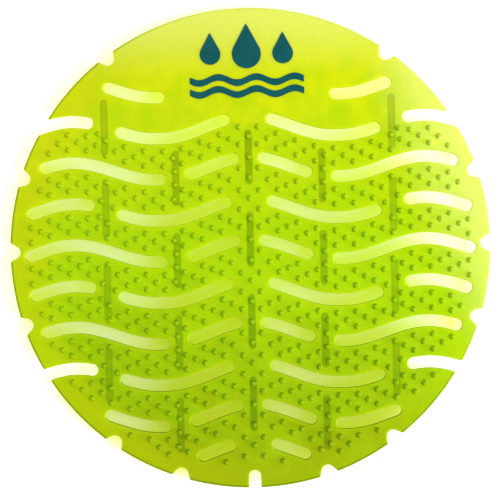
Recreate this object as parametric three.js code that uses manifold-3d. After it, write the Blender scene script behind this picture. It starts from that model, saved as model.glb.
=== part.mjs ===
// Urinal deodorizer screen: a flexible round sheet with wavy slots, a field of
// short studs on the front and low standing ribs on the back.
// Millimetres. +Z points out of the front face and +Y towards the plain field.
// The origin is on the plane that the ribs stand on, below the sheet's centre.

import * as THREE from 'three';
import { mergeGeometries, mergeVertices } from 'three/addons/utils/BufferGeometryUtils.js';
import Module from 'manifold-3d';

// Sheet
const RIM_RADIUS = 92.5;
const WEB_THICKNESS = 2.2;
const RIM_SEGMENTS = 48;

// Wave that every row of slots follows, the same on both sides of the middle:
// a crest in the middle, a short flat trough, and an outer crest
const INNER_CREST = 8.1;
const INNER_TROUGH_X = 33;
const TROUGH_FLAT = 3;
const OUTER_CREST = 7.1;
const OUTER_HALF_WAVE = 31.8;

// Rows of slots, counted from the top; odd rows bridge at the inner ribs and
// even rows at the outer ribs
const ROW_COUNT = 10;
const ROW_PITCH = 15.87;
const TOP_ROW_TO_RIM = 33.85;
const LAST_ROW_LIFT = 1.4;
const SLOT_WIDTH = 4.6;
const SLOT_STEP = 9;
const SLOT_END_SEGMENTS = 3;
const SHORTEST_SLOT = 14.5;
const ODD_ROW_MIDDLE_LAND = 7.2;
const EVEN_ROW_MIDDLE_LAND = 13.8;
const INNER_BRIDGE = 7.3;
const OUTER_BRIDGE = 8.5;
const RIM_LAND = 5.3;
const EXTRA_LAND = { 1: 2.6, 9: 0.8, 10: 2.6 };

// Ribs on the back
const RIB_HEIGHT = 3.5;
const RIB_WIDTH = 2.3;
const RIB_END_GAP = 3.2;
const RIB_END_SEGMENTS = 2;
const INNER_RIB_X = 28.2;
const OUTER_RIB_X = 55.4;

// Studs on the front: columns a fixed pitch apart, pairs in the odd columns and
// single studs in the even ones. A round stud is a square post of equal section.
const STUD_HEIGHT = 2.5;
const STUD_WIDTH = 2;
const STUD_PITCH = 3.66;
const STUD_PAIR_SPACING = 5.7;
const FIRST_COLUMN_UP = 3.8;
const FIRST_COLUMN_DOWN_ODD = 4.8;
const FIRST_COLUMN_DOWN_EVEN = 2.9;
const STUD_RIM_LAND = 6.5;
const STUD_SLOT_GAP = 0.3;
const INNER_BRIDGE_STUDS = [[0.5, 2.6], [0.5, -2.6]];
const OUTER_BRIDGE_STUDS = [[-3.1, 0.6], [1.8, 3.4], [2.4, -2.6]];
const STUD_SPACING = 3.2;
const STUD_ROOT = 0.6;

// Plain field at the top, which carries the print
const PLAIN_FIELD_DEPTH = 45.5;

// Grip notches around the rim, and a deeper straight one at the bottom
const NOTCH_COUNT = 20;
const NOTCH_WIDTH = 7.4;
const NOTCH_DEPTH = 3.8;
const NOTCH_SEGMENTS = 2;
const PLAIN_RIM_DEGREES = 60;
const BOTTOM_NOTCH_WIDTH = 4.6;
const BOTTOM_NOTCH_DEPTH = 6.7;

// Printed water motif: three drops over two waves
const PRINT_THICKNESS = 0.15;
const PRINT_RIM_GAP = 6;
const PRINT_WIDTH = 44;
const CENTRE_DROP_RADIUS = 5.6;
const SIDE_DROP_RADIUS = 4;
const SIDE_DROP_X = 14;
const DROP_TIP = 2.1;
const DROP_SEGMENTS = 10;
const STRIPE_WIDTH = 2.6;
const STRIPE_GAP = 2;
const STRIPE_WAVES = 3;
const STRIPE_SWING = 1.1;
const STRIPE_STEPS = 24;

const SLOT_RADIUS = SLOT_WIDTH / 2;
const STUD_RADIUS = STUD_WIDTH / 2;
const WEB_TOP = RIB_HEIGHT + WEB_THICKNESS;
const OUTER_TROUGH_X = INNER_TROUGH_X + TROUGH_FLAT;
const TOP_ROW_Y = RIM_RADIUS - TOP_ROW_TO_RIM;
const PLAIN_FIELD_Y = RIM_RADIUS - PLAIN_FIELD_DEPTH;
const SIDES = [-1, 1];

const screenMaterial = new THREE.MeshStandardMaterial({
  color: 0xc3e00a,
  roughness: 0.35,
  metalness: 0,
  transparent: true,
  opacity: 0.9,
});
const inkMaterial = new THREE.MeshStandardMaterial({
  color: 0x0b5f63,
  roughness: 0.5,
  metalness: 0,
});

const wasm = await Module();
wasm.setup();

// Solids

function toSolid(geometry) {
  const bare = geometry.clone();
  bare.deleteAttribute('normal');
  bare.deleteAttribute('uv');
  const merged = mergeVertices(bare, 1e-4);
  return new wasm.Manifold(new wasm.Mesh({
    numProp: 3,
    vertProperties: new Float32Array(merged.attributes.position.array),
    triVerts: new Uint32Array(merged.index.array),
  }));
}

function toGeometry(solid) {
  const mesh = solid.getMesh();
  const geometry = new THREE.BufferGeometry();
  geometry.setAttribute('position', new THREE.BufferAttribute(mesh.vertProperties, 3));
  geometry.setIndex(new THREE.BufferAttribute(mesh.triVerts, 1));
  geometry.computeVertexNormals();
  return geometry;
}

function extrude(shape, bottom, top, curveSegments = 12) {
  const settings = { depth: top - bottom, bevelEnabled: false, curveSegments };
  return new THREE.ExtrudeGeometry(shape, settings).translate(0, 0, bottom);
}

function moved(geometry, x, y) {
  return geometry.clone().translate(x, y, 0);
}

// The wave and the rows

function wave(x) {
  const reach = Math.abs(x);
  if (reach < INNER_TROUGH_X) {
    return (INNER_CREST / 2) * (1 + Math.cos((Math.PI * reach) / INNER_TROUGH_X));
  }
  const past = Math.max(reach - OUTER_TROUGH_X, 0);
  return (OUTER_CREST / 2) * (1 - Math.cos((Math.PI * past) / OUTER_HALF_WAVE));
}

function isOdd(row) {
  return row % 2 === 1;
}

function rowY(row) {
  const lift = row === ROW_COUNT ? LAST_ROW_LIFT : 0;
  return TOP_ROW_Y - ROW_PITCH * (row - 1) + lift;
}

function onRow(row, x) {
  return new THREE.Vector2(x, rowY(row) + wave(x));
}

// Farthest x at which a slot's round end still leaves the land to the rim
function lastClosedX(row, land) {
  let x = RIM_RADIUS;
  while (x > 0 && onRow(row, x).length() > RIM_RADIUS - land - SLOT_RADIUS) {
    x -= 0.1;
  }
  return x;
}

// Slots, as the two ends of their centre line on the right-hand side

function slotSpans(row) {
  const last = lastClosedX(row, RIM_LAND + (EXTRA_LAND[row] ?? 0));
  const bridgeX = isOdd(row) ? INNER_RIB_X : OUTER_RIB_X;
  const bridge = (isOdd(row) ? INNER_BRIDGE : OUTER_BRIDGE) / 2 + SLOT_RADIUS;
  const middleLand = isOdd(row) ? ODD_ROW_MIDDLE_LAND : EVEN_ROW_MIDDLE_LAND;
  const inner = { from: middleLand / 2 + SLOT_RADIUS, to: Math.min(bridgeX - bridge, last) };
  const outer = { from: bridgeX + bridge, to: last };
  const spans = row === 1 ? [] : [inner];
  if (outer.to - outer.from + SLOT_WIDTH >= SHORTEST_SLOT) {
    spans.push(outer);
  } else if (onRow(row, outer.from).length() < RIM_RADIUS - SLOT_WIDTH) {
    spans.push({ from: outer.from, to: RIM_RADIUS, open: true });
  }
  return spans.filter((span) => span.to - span.from + SLOT_WIDTH >= SHORTEST_SLOT);
}

function slotShape(row, side, span) {
  const steps = Math.max(2, Math.round((span.to - span.from) / SLOT_STEP));
  const line = [];
  for (let i = 0; i <= steps; i += 1) {
    line.push(onRow(row, span.from + ((span.to - span.from) * i) / steps));
  }
  const tangentAngle = (i) => {
    const before = line[Math.max(i - 1, 0)];
    const after = line[Math.min(i + 1, steps)];
    return Math.atan2(after.y - before.y, after.x - before.x);
  };
  const beside = (i, angle) => new THREE.Vector2(
    side * (line[i].x + SLOT_RADIUS * Math.cos(angle)),
    line[i].y + SLOT_RADIUS * Math.sin(angle),
  );
  const points = [];
  for (let i = 0; i <= steps; i += 1) {
    points.push(beside(i, tangentAngle(i) - Math.PI / 2));
  }
  for (let i = 1; i < SLOT_END_SEGMENTS; i += 1) {
    points.push(beside(steps, tangentAngle(steps) + Math.PI * (i / SLOT_END_SEGMENTS - 0.5)));
  }
  for (let i = steps; i >= 0; i -= 1) {
    points.push(beside(i, tangentAngle(i) + Math.PI / 2));
  }
  for (let i = 1; i < SLOT_END_SEGMENTS; i += 1) {
    points.push(beside(0, tangentAngle(0) + Math.PI * (i / SLOT_END_SEGMENTS + 0.5)));
  }
  return new THREE.Shape(points);
}

function allSlots() {
  const slots = [];
  for (let row = 1; row <= ROW_COUNT; row += 1) {
    for (const span of slotSpans(row)) {
      SIDES.forEach((side) => slots.push({ row, side, span }));
    }
  }
  return slots;
}

// Grip notches

function notchShape() {
  const half = NOTCH_WIDTH / 2;
  const bottom = RIM_RADIUS - NOTCH_DEPTH;
  const shape = new THREE.Shape();
  shape.moveTo(RIM_RADIUS + half, -2 * half);
  shape.lineTo(RIM_RADIUS, -half);
  shape.bezierCurveTo(RIM_RADIUS - NOTCH_DEPTH / 2, -0.6 * half, bottom, -0.6 * half, bottom, 0);
  shape.bezierCurveTo(bottom, 0.6 * half, RIM_RADIUS - NOTCH_DEPTH / 2, 0.6 * half, RIM_RADIUS, half);
  shape.lineTo(RIM_RADIUS + half, 2 * half);
  return shape;
}

function bottomNotchShape() {
  const radius = BOTTOM_NOTCH_WIDTH / 2;
  const shape = new THREE.Shape();
  shape.moveTo(radius, -RIM_RADIUS - radius);
  shape.lineTo(radius, BOTTOM_NOTCH_DEPTH - RIM_RADIUS - radius);
  shape.absarc(0, BOTTOM_NOTCH_DEPTH - RIM_RADIUS - radius, radius, 0, Math.PI, false);
  shape.lineTo(-radius, -RIM_RADIUS - radius);
  return shape;
}

function notchAngles() {
  const bottom = (3 * NOTCH_COUNT) / 4;
  const openSlotAngles = allSlots()
    .filter((slot) => slot.span.open)
    .map((slot) => {
      const x = Math.sqrt(RIM_RADIUS ** 2 - (rowY(slot.row) + OUTER_CREST) ** 2);
      return THREE.MathUtils.euclideanModulo(
        Math.atan2(rowY(slot.row) + OUTER_CREST, slot.side * x), 2 * Math.PI);
    });
  const pitch = (2 * Math.PI) / NOTCH_COUNT;
  const angles = [];
  for (let i = 0; i < NOTCH_COUNT; i += 1) {
    const angle = i * pitch;
    const inPlain = Math.abs(angle - Math.PI / 2) < THREE.MathUtils.degToRad(PLAIN_RIM_DEGREES / 2);
    const byOpenSlot = openSlotAngles.some((other) => Math.abs(other - angle) < pitch / 2);
    if (i !== bottom && !inPlain && !byOpenSlot) {
      angles.push(angle);
    }
  }
  return angles;
}

// Ribs

function ribPlaces() {
  const places = [];
  for (let row = 2; row < ROW_COUNT; row += 1) {
    const columns = isOdd(row) ? [-INNER_RIB_X, 0, INNER_RIB_X] : [-OUTER_RIB_X, OUTER_RIB_X];
    columns.forEach((x) => places.push({ row, x, y: onRow(row, x).y }));
  }
  return places;
}

function ribShape() {
  const radius = RIB_WIDTH / 2;
  const reach = ROW_PITCH - SLOT_RADIUS - RIB_END_GAP - radius;
  const shape = new THREE.Shape();
  shape.moveTo(radius, -reach);
  shape.absarc(0, reach, radius, 0, Math.PI, false);
  shape.absarc(0, -reach, radius, Math.PI, 2 * Math.PI, false);
  return shape;
}

// Studs

function latticeStuds() {
  const studs = [];
  const lastColumn = Math.floor(RIM_RADIUS / STUD_PITCH);
  const spread = STUD_PAIR_SPACING / 2;
  for (let row = 2; row < ROW_COUNT; row += 1) {
    for (let column = 2; column <= lastColumn; column += 1) {
      const x = column * STUD_PITCH;
      const y = onRow(row, x).y - ROW_PITCH / 2;
      const offsets = column % 2 === 1 ? [spread, -spread] : [0];
      offsets.forEach((offset) => studs.push({ x, y: y + offset }));
    }
  }
  return studs;
}

// Studs along the middle, where no slot crosses, down to below the last row
function middleStuds() {
  const studs = [];
  for (let row = 2; row <= ROW_COUNT; row += 1) {
    const y = TOP_ROW_Y - ROW_PITCH * (row - 1);
    const down = isOdd(row) ? FIRST_COLUMN_DOWN_ODD : FIRST_COLUMN_DOWN_EVEN;
    studs.push({ x: 0, y: y + INNER_CREST });
    studs.push({ x: STUD_PITCH, y: y + FIRST_COLUMN_UP });
    if (row < ROW_COUNT) {
      studs.push({ x: 0, y: y + INNER_CREST - ROW_PITCH / 2 });
      studs.push({ x: STUD_PITCH, y: y - down });
    } else {
      studs.push({ x: 3 * STUD_PITCH, y: y + FIRST_COLUMN_UP - STUD_WIDTH });
    }
  }
  return studs;
}

// Studs that close the gaps which the bridges leave in the lattice
function bridgeStuds() {
  return ribPlaces().filter((rib) => rib.x > 0).flatMap((rib) => {
    const offsets = isOdd(rib.row) ? INNER_BRIDGE_STUDS : OUTER_BRIDGE_STUDS;
    return offsets.map(([dx, dy]) => ({ x: rib.x + dx, y: rib.y + dy }));
  });
}

function distanceToSlot(stud, slot) {
  let nearest = Infinity;
  const { from, to } = slot.span;
  const steps = Math.ceil(to - from) * 2;
  for (let i = 0; i <= steps; i += 1) {
    const point = onRow(slot.row, from + ((to - from) * i) / steps);
    nearest = Math.min(nearest, Math.hypot(point.x - stud.x, point.y - stud.y));
  }
  return nearest;
}

function studPlaces() {
  const rightSlots = allSlots().filter((slot) => slot.side > 0);
  const wanted = [...bridgeStuds(), ...middleStuds(), ...latticeStuds()];
  const kept = [];
  for (const stud of wanted) {
    const inField = stud.y < PLAIN_FIELD_Y
      && Math.hypot(stud.x, stud.y) < RIM_RADIUS - STUD_RIM_LAND;
    const clear = kept.every((other) => (
      Math.hypot(other.x - stud.x, other.y - stud.y) >= STUD_SPACING));
    const onWeb = rightSlots.every((slot) => (
      distanceToSlot(stud, slot) >= SLOT_RADIUS + STUD_RADIUS + STUD_SLOT_GAP));
    if (inField && clear && onWeb) {
      kept.push(stud);
    }
  }
  return kept.flatMap(({ x, y }) => (x === 0 ? [{ x, y }] : [{ x, y }, { x: -x, y }]));
}

// The one-piece sheet

function screen() {
  const closed = allSlots().filter((slot) => !slot.span.open);
  const open = allSlots().filter((slot) => slot.span.open);
  const outline = new THREE.Shape();
  outline.absarc(0, 0, RIM_RADIUS, Math.PI / 2, (5 * Math.PI) / 2, false);
  outline.holes = closed.map(({ row, side, span }) => slotShape(row, side, span));
  let sheet = toSolid(extrude(outline, RIB_HEIGHT, WEB_TOP, RIM_SEGMENTS));

  const above = WEB_TOP + 1;
  const below = RIB_HEIGHT - 1;
  const notch = extrude(notchShape(), below, above, NOTCH_SEGMENTS);
  const cutters = [
    extrude(bottomNotchShape(), below, above, NOTCH_SEGMENTS),
    ...open.map(({ row, side, span }) => extrude(slotShape(row, side, span), below, above)),
    ...notchAngles().map((angle) => notch.clone().rotateZ(angle)),
  ];
  cutters.forEach((cutter) => {
    sheet = sheet.subtract(toSolid(cutter));
  });

  const studHeight = STUD_HEIGHT + STUD_ROOT;
  const studSide = STUD_RADIUS * Math.sqrt(Math.PI);
  const stud = new THREE.BoxGeometry(studSide, studSide, studHeight)
    .translate(0, 0, WEB_TOP - STUD_ROOT + studHeight / 2);
  const rib = extrude(ribShape(), 0, RIB_HEIGHT + WEB_THICKNESS / 2, RIB_END_SEGMENTS);
  const raised = [
    mergeGeometries(studPlaces().map(({ x, y }) => moved(stud, x, y))),
    mergeGeometries(ribPlaces().map(({ x, y }) => moved(rib, x, y))),
  ];
  raised.forEach((pieces) => {
    sheet = sheet.add(toSolid(pieces));
  });

  const mesh = new THREE.Mesh(toGeometry(sheet), screenMaterial);
  mesh.name = 'screen';
  return mesh;
}

// The print

function dropShape(radius) {
  const shape = new THREE.Shape();
  const shoulder = Math.PI / 2 + Math.acos(1 / DROP_TIP);
  shape.moveTo(0, DROP_TIP * radius);
  shape.lineTo(radius * Math.cos(shoulder), radius * Math.sin(shoulder));
  shape.absarc(0, 0, radius, shoulder, 3 * Math.PI - shoulder, false);
  return shape;
}

function stripeShape() {
  const middle = (x) => (
    STRIPE_SWING * Math.sin((2 * Math.PI * STRIPE_WAVES * x) / PRINT_WIDTH));
  const upper = [];
  const lower = [];
  for (let i = 0; i <= STRIPE_STEPS; i += 1) {
    const x = PRINT_WIDTH * (i / STRIPE_STEPS - 0.5);
    upper.unshift(new THREE.Vector2(x, middle(x) + STRIPE_WIDTH / 2));
    lower.push(new THREE.Vector2(x, middle(x) - STRIPE_WIDTH / 2));
  }
  return new THREE.Shape([...lower, ...upper]);
}

function printPiece(name, shape, x, y) {
  const piece = extrude(shape, 0, PRINT_THICKNESS, DROP_SEGMENTS);
  const mesh = new THREE.Mesh(piece, inkMaterial.clone());
  mesh.name = name;
  mesh.position.set(x, y, WEB_TOP);
  return mesh;
}

function printedMotif() {
  const dropY = RIM_RADIUS - PRINT_RIM_GAP - DROP_TIP * CENTRE_DROP_RADIUS;
  const stripeReach = STRIPE_WIDTH / 2 + STRIPE_SWING;
  const upperY = dropY - CENTRE_DROP_RADIUS - STRIPE_GAP - stripeReach;
  const lowerY = upperY - STRIPE_WIDTH - STRIPE_GAP;
  return [
    printPiece('printed_drop_centre', dropShape(CENTRE_DROP_RADIUS), 0, dropY),
    printPiece('printed_drop_left', dropShape(SIDE_DROP_RADIUS), -SIDE_DROP_X, dropY),
    printPiece('printed_drop_right', dropShape(SIDE_DROP_RADIUS), SIDE_DROP_X, dropY),
    printPiece('printed_wave_upper', stripeShape(), 0, upperY),
    printPiece('printed_wave_lower', stripeShape(), 0, lowerY),
  ];
}

const model = new THREE.Group();
model.add(screen(), ...printedMotif());

export default model;
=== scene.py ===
"""Urinal deodorizer screen: a soft translucent lime sheet with wavy slots, round studs
on the front, low ribs on the back and a printed water motif on its plain field."""

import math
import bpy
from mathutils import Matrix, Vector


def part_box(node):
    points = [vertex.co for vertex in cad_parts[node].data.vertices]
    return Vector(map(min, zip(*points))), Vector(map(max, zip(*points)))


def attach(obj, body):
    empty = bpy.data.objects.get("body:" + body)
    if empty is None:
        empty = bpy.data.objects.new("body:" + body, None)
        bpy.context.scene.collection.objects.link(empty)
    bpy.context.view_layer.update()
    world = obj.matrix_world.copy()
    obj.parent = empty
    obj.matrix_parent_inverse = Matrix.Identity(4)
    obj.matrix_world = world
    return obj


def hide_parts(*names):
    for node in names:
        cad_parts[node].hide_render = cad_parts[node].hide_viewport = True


bl_info = {
    "name": "Urinal Deodorizer Screen",
    "version": (1, 0, 0),
    "blender": (4, 5, 0),
    "location": "View3D > Sidebar > Screen",
    "description": "Models the moulded screen, its print and the stage it is shown on",
    "category": "Add Mesh",
}

import bpy
from bpy.props import FloatProperty, FloatVectorProperty, IntProperty, PointerProperty
from mathutils import Vector
from mathutils.geometry import delaunay_2d_cdt, tessellate_polygon

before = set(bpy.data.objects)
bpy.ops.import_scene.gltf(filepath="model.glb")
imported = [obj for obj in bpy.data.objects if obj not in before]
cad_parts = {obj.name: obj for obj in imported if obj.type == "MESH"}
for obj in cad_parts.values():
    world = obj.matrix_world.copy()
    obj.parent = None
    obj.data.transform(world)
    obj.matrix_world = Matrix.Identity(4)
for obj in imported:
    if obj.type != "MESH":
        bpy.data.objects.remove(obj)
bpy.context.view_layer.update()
SCREEN_LOW, SCREEN_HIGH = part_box("screen")
MM = 0.001


# Sizes and colours that a user would change


def length(name, description, default_mm):
    return FloatProperty(
        name=name, description=description, default=default_mm * MM, unit="LENGTH", precision=5
    )


def colour(name, description, default):
    return FloatVectorProperty(
        name=name, description=description, default=default, subtype="COLOR", size=3, min=0, max=1
    )


class SheetSizes(bpy.types.PropertyGroup):
    """The moulded sheet: rim, wave, slots, ribs and notches"""

    rim_radius: length("Rim radius", "Radius of the round sheet", SCREEN_HIGH[1] / MM)
    web_thickness: length("Web thickness", "Thickness of the sheet between studs and ribs", 2.2)
    edge_round: length("Edge rounding", "Radius along every rim and slot edge", 0.22)
    inner_crest: length("Middle crest", "Height of the wave's crest at the middle", 8.1)
    inner_trough_x: length("Inner trough", "Distance from the middle to the wave's trough", 33)
    trough_flat: length("Trough flat", "Length of the flat at the bottom of the trough", 3)
    outer_crest: length("Outer crest", "Height of the wave's outer crest", 7.1)
    outer_half_wave: length("Outer half wave", "From the trough to the outer crest", 31.8)
    row_count: IntProperty(name="Rows", description="Rows of slots", default=10, min=3)
    row_pitch: length("Row pitch", "Distance from one row of slots to the next", 15.87)
    top_row_to_rim: length("Top row to rim", "From the rim down to the first row", 33.85)
    last_row_lift: length("Last row lift", "How much the last row sits above its place", 1.4)
    slot_width: length("Slot width", "Width of every slot", 4.6)
    shortest_slot: length("Shortest slot", "A shorter outer slot runs out through the rim", 14.5)
    odd_row_land: length("Middle land, odd rows", "Web between the two middle slots", 7.2)
    even_row_land: length("Middle land, even rows", "Web between the two middle slots", 13.8)
    inner_bridge: length("Inner bridge", "Web beside the inner ribs, in odd rows", 7.3)
    outer_bridge: length("Outer bridge", "Web beside the outer ribs, in even rows", 8.5)
    rim_land: length("Rim land", "Web between a closed slot and the rim", 5.3)
    rib_height: length("Rib height", "How far the ribs stand out of the back", 3.5)
    rib_width: length("Rib width", "Width of every rib", 2.3)
    rib_foot_round: length("Rib fillet", "Radius where a rib meets the back", 0.5)
    rib_edge_round: length("Rib edge rounding", "Radius around a rib's outer edge", 0.35)
    rib_end_gap: length("Rib end gap", "From a rib's end to the slots beyond it", 3.2)
    inner_rib_x: length("Inner ribs", "Distance of the inner ribs from the middle", 28.2)
    outer_rib_x: length("Outer ribs", "Distance of the outer ribs from the middle", 55.4)
    notch_count: IntProperty(name="Notches", description="Notch places on the rim", default=20)
    notch_width: length("Notch width", "Width of a grip notch at the rim", 7.4)
    notch_depth: length("Notch depth", "Depth of a grip notch", 3.8)
    bottom_notch_width: length("Bottom notch width", "Width of the straight notch", 4.6)
    bottom_notch_depth: length("Bottom notch depth", "Depth of the straight notch", 6.7)


class StudSizes(bpy.types.PropertyGroup):
    """The studs on the front"""

    height: length("Height", "How far a stud stands above the sheet", 2.5)
    width: length("Width", "Diameter of a stud half way up", 2.0)
    taper: length("Taper", "How much wider a stud is at its foot than at its tip", 0.1)
    foot_round: length("Foot fillet", "Largest radius where a stud meets the sheet", 0.3)
    tip_round: length("Tip rounding", "Radius around a stud's tip", 0.55)
    pitch: length("Column pitch", "Distance between columns of studs", 3.66)
    pair_spacing: length("Pair spacing", "Between the two studs of an odd column", 5.7)
    first_column_up: length("First column, up", "First stud above a row's line", 3.8)
    first_column_down_odd: length("First column, down, odd", "First stud below an odd row", 4.8)
    first_column_down_even: length("First column, down, even", "The same for an even row", 2.9)
    spacing: length("Least spacing", "No two studs stand closer than this", 3.2)
    rim_land: length("Rim land", "From the rim to the outermost studs", 6.5)
    slot_gap: length("Slot gap", "Web between a stud and a slot", 0.3)
    plain_field_depth: length("Plain field", "Depth of the field without studs", 45.5)
    sides: IntProperty(name="Sides", description="Sides of a stud", default=16, min=6)


class PrintSizes(bpy.types.PropertyGroup):
    """The printed water motif: three drops over two waves"""

    thickness: length("Ink thickness", "Thickness of the ink", 0.15)
    width: length("Width", "Width of the printed waves", 44)
    centre_drop: length("Middle drop", "Radius of the middle drop", 5.6)
    side_drop: length("Side drops", "Radius of the side drops", 4)
    stripe_width: length("Stripe width", "Width of a printed wave", 2.6)
    stripe_swing: length("Stripe swing", "How far a printed wave swings", 1.1)


class ScreenColours(bpy.types.PropertyGroup):
    """Colours of the moulding, the ink and the stage"""

    # Lime of the sheet with painted light: paler towards the top, deeper towards the bottom
    lime_lit_top: colour("Lime, top", "Colour of the sheet at the top", (0.72, 0.78, 0.003))
    lime_lit_upper: colour("Lime, upper", "Colour above the middle", (0.57, 0.73, 0.002))
    lime_middle: colour("Lime, middle", "Colour at the middle", (0.49, 0.71, 0.002))
    lime_shaded_lower: colour("Lime, lower", "Colour below the middle", (0.41, 0.60, 0.002))
    lime_shaded_bottom: colour("Lime, bottom", "Colour at the bottom", (0.37, 0.49, 0.002))
    # Painted light: a lighter, warmer lime along the rim, strongest at the left
    lit_rim_lime: colour("Lime, rim", "Warmer colour along the rim", (0.61, 0.67, 0.002))
    # Painted light: a paler lime towards the right rim and the top
    flare_lime: colour("Lime, pale", "Colour towards the right rim", (0.86, 0.92, 0.30))
    # Painted shade where light passes through more plastic, over the ribs and in the studs
    rib_and_stud_shade_lime: colour("Deep lime", "Tint where the plastic is thicker", (0.40, 0.54, 0.15))
    # Painted shade along cut edges, walls and stud feet
    edge_shade_lime: colour("Edge lime", "Tint along cut edges and stud feet", (0.38, 0.49, 0.15))
    glow: colour("Glow", "Tint of light that has passed a face of the sheet", (0.88, 0.925, 0.14))
    ink: colour("Ink", "Colour of the print", (0.001, 0.088, 0.094))
    ink_worn: colour("Thin ink", "Colour where the ink lies thinner", (0.004, 0.120, 0.122))
    floor: colour("Floor", "Colour of the floor", (0.93, 0.93, 0.93))
    # Painted light: the lime the floor takes under the sheet, from the top to the bottom
    floor_top: colour("Floor, top", "Floor in the sheet's glow, at the top", (0.84, 0.89, 0.42))
    floor_middle: colour("Floor, middle", "The same at the middle", (0.66, 0.74, 0.15))
    floor_bottom: colour("Floor, bottom", "The same at the bottom", (0.56, 0.63, 0.09))


class ScreenSettings(bpy.types.PropertyGroup):
    """Everything the sidebar shows"""

    sheet: PointerProperty(type=SheetSizes)
    studs: PointerProperty(type=StudSizes)
    mark: PointerProperty(type=PrintSizes)
    colours: PointerProperty(type=ScreenColours)


# Web left between the last closed slot and the rim in some rows, beyond the usual land
EXTRA_LAND = {1: 2.6 * MM, 9: 0.8 * MM, 10: 2.6 * MM}

# Studs beside a rib, measured from its middle
INNER_BRIDGE_STUDS = [(0.5 * MM, 2.6 * MM), (0.5 * MM, -2.6 * MM)]
OUTER_BRIDGE_STUDS = [(-3.1 * MM, 0.6 * MM), (1.8 * MM, 3.4 * MM), (2.4 * MM, -2.6 * MM)]

# The stretch of rim above the plain field that has no grip notches
PLAIN_RIM = math.radians(60)

# How strongly painted shade deepens the lime where the plastic is thicker and along the edges, from 0
# to 1
INNER_RIB_SHADE = 0.55
OUTER_RIB_SHADE = 0.42
MIDDLE_RIB_SHADE = 0.66
RIB_OUTLINE_SHADE = 0.3
STUD_SHADE = 0.6
EDGE_SHADE = 0.22

# Sizes of the clouds and the fine skin, in features per metre
LIME_CLOUDS = 24.0
LIME_PATCHES = 130.0
INK_CLOUDS = 180.0
INK_SKIN = 4000.0

# The ramp of painted light from the foot of the sheet to its top, deeper at the foot and paler at the
# top and towards the sides, and what shifts a place along it
LIGHT_RAMP_STOPS = (0.06, 0.28, 0.54, 0.78, 0.96)
RAMP_MIDDLE = 0.47
CLOUD_DRIFT = 0.06
PATCH_DRIFT = 0.12
SIDE_LIGHT_LIFT = 0.18

# Where the open slots lie on the floor, from the middle, as (start, end) of each soft edge
OPEN_SLOT_SIDE = (54 * MM, 60 * MM)
OPEN_SLOT_NEAR = (36 * MM, 42 * MM)
OPEN_SLOT_FAR = (54 * MM, 58 * MM)

# The stage: floor, room light, lamps (name, place, size, power) and the camera's framing,
# with the rim's share of the view and the aim's offset from the rim's centre as shares of it
FLOOR_HALF = 4.0
ROOM_LIGHT = 0.27
LAMPS = (
    ("right_softbox", (0.95, -0.28, 0.62), 0.8, 16.5),
    ("upper_left_fill", (-0.55, 0.55, 0.80), 1.2, 4.5),
)
RIM_SHARE = 0.96
AIM_OFFSET = (-0.0008, -0.0048)
CAMERA_ROLL = math.radians(1.2)


# The plan of the sheet, as points and outlines in metres


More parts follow.
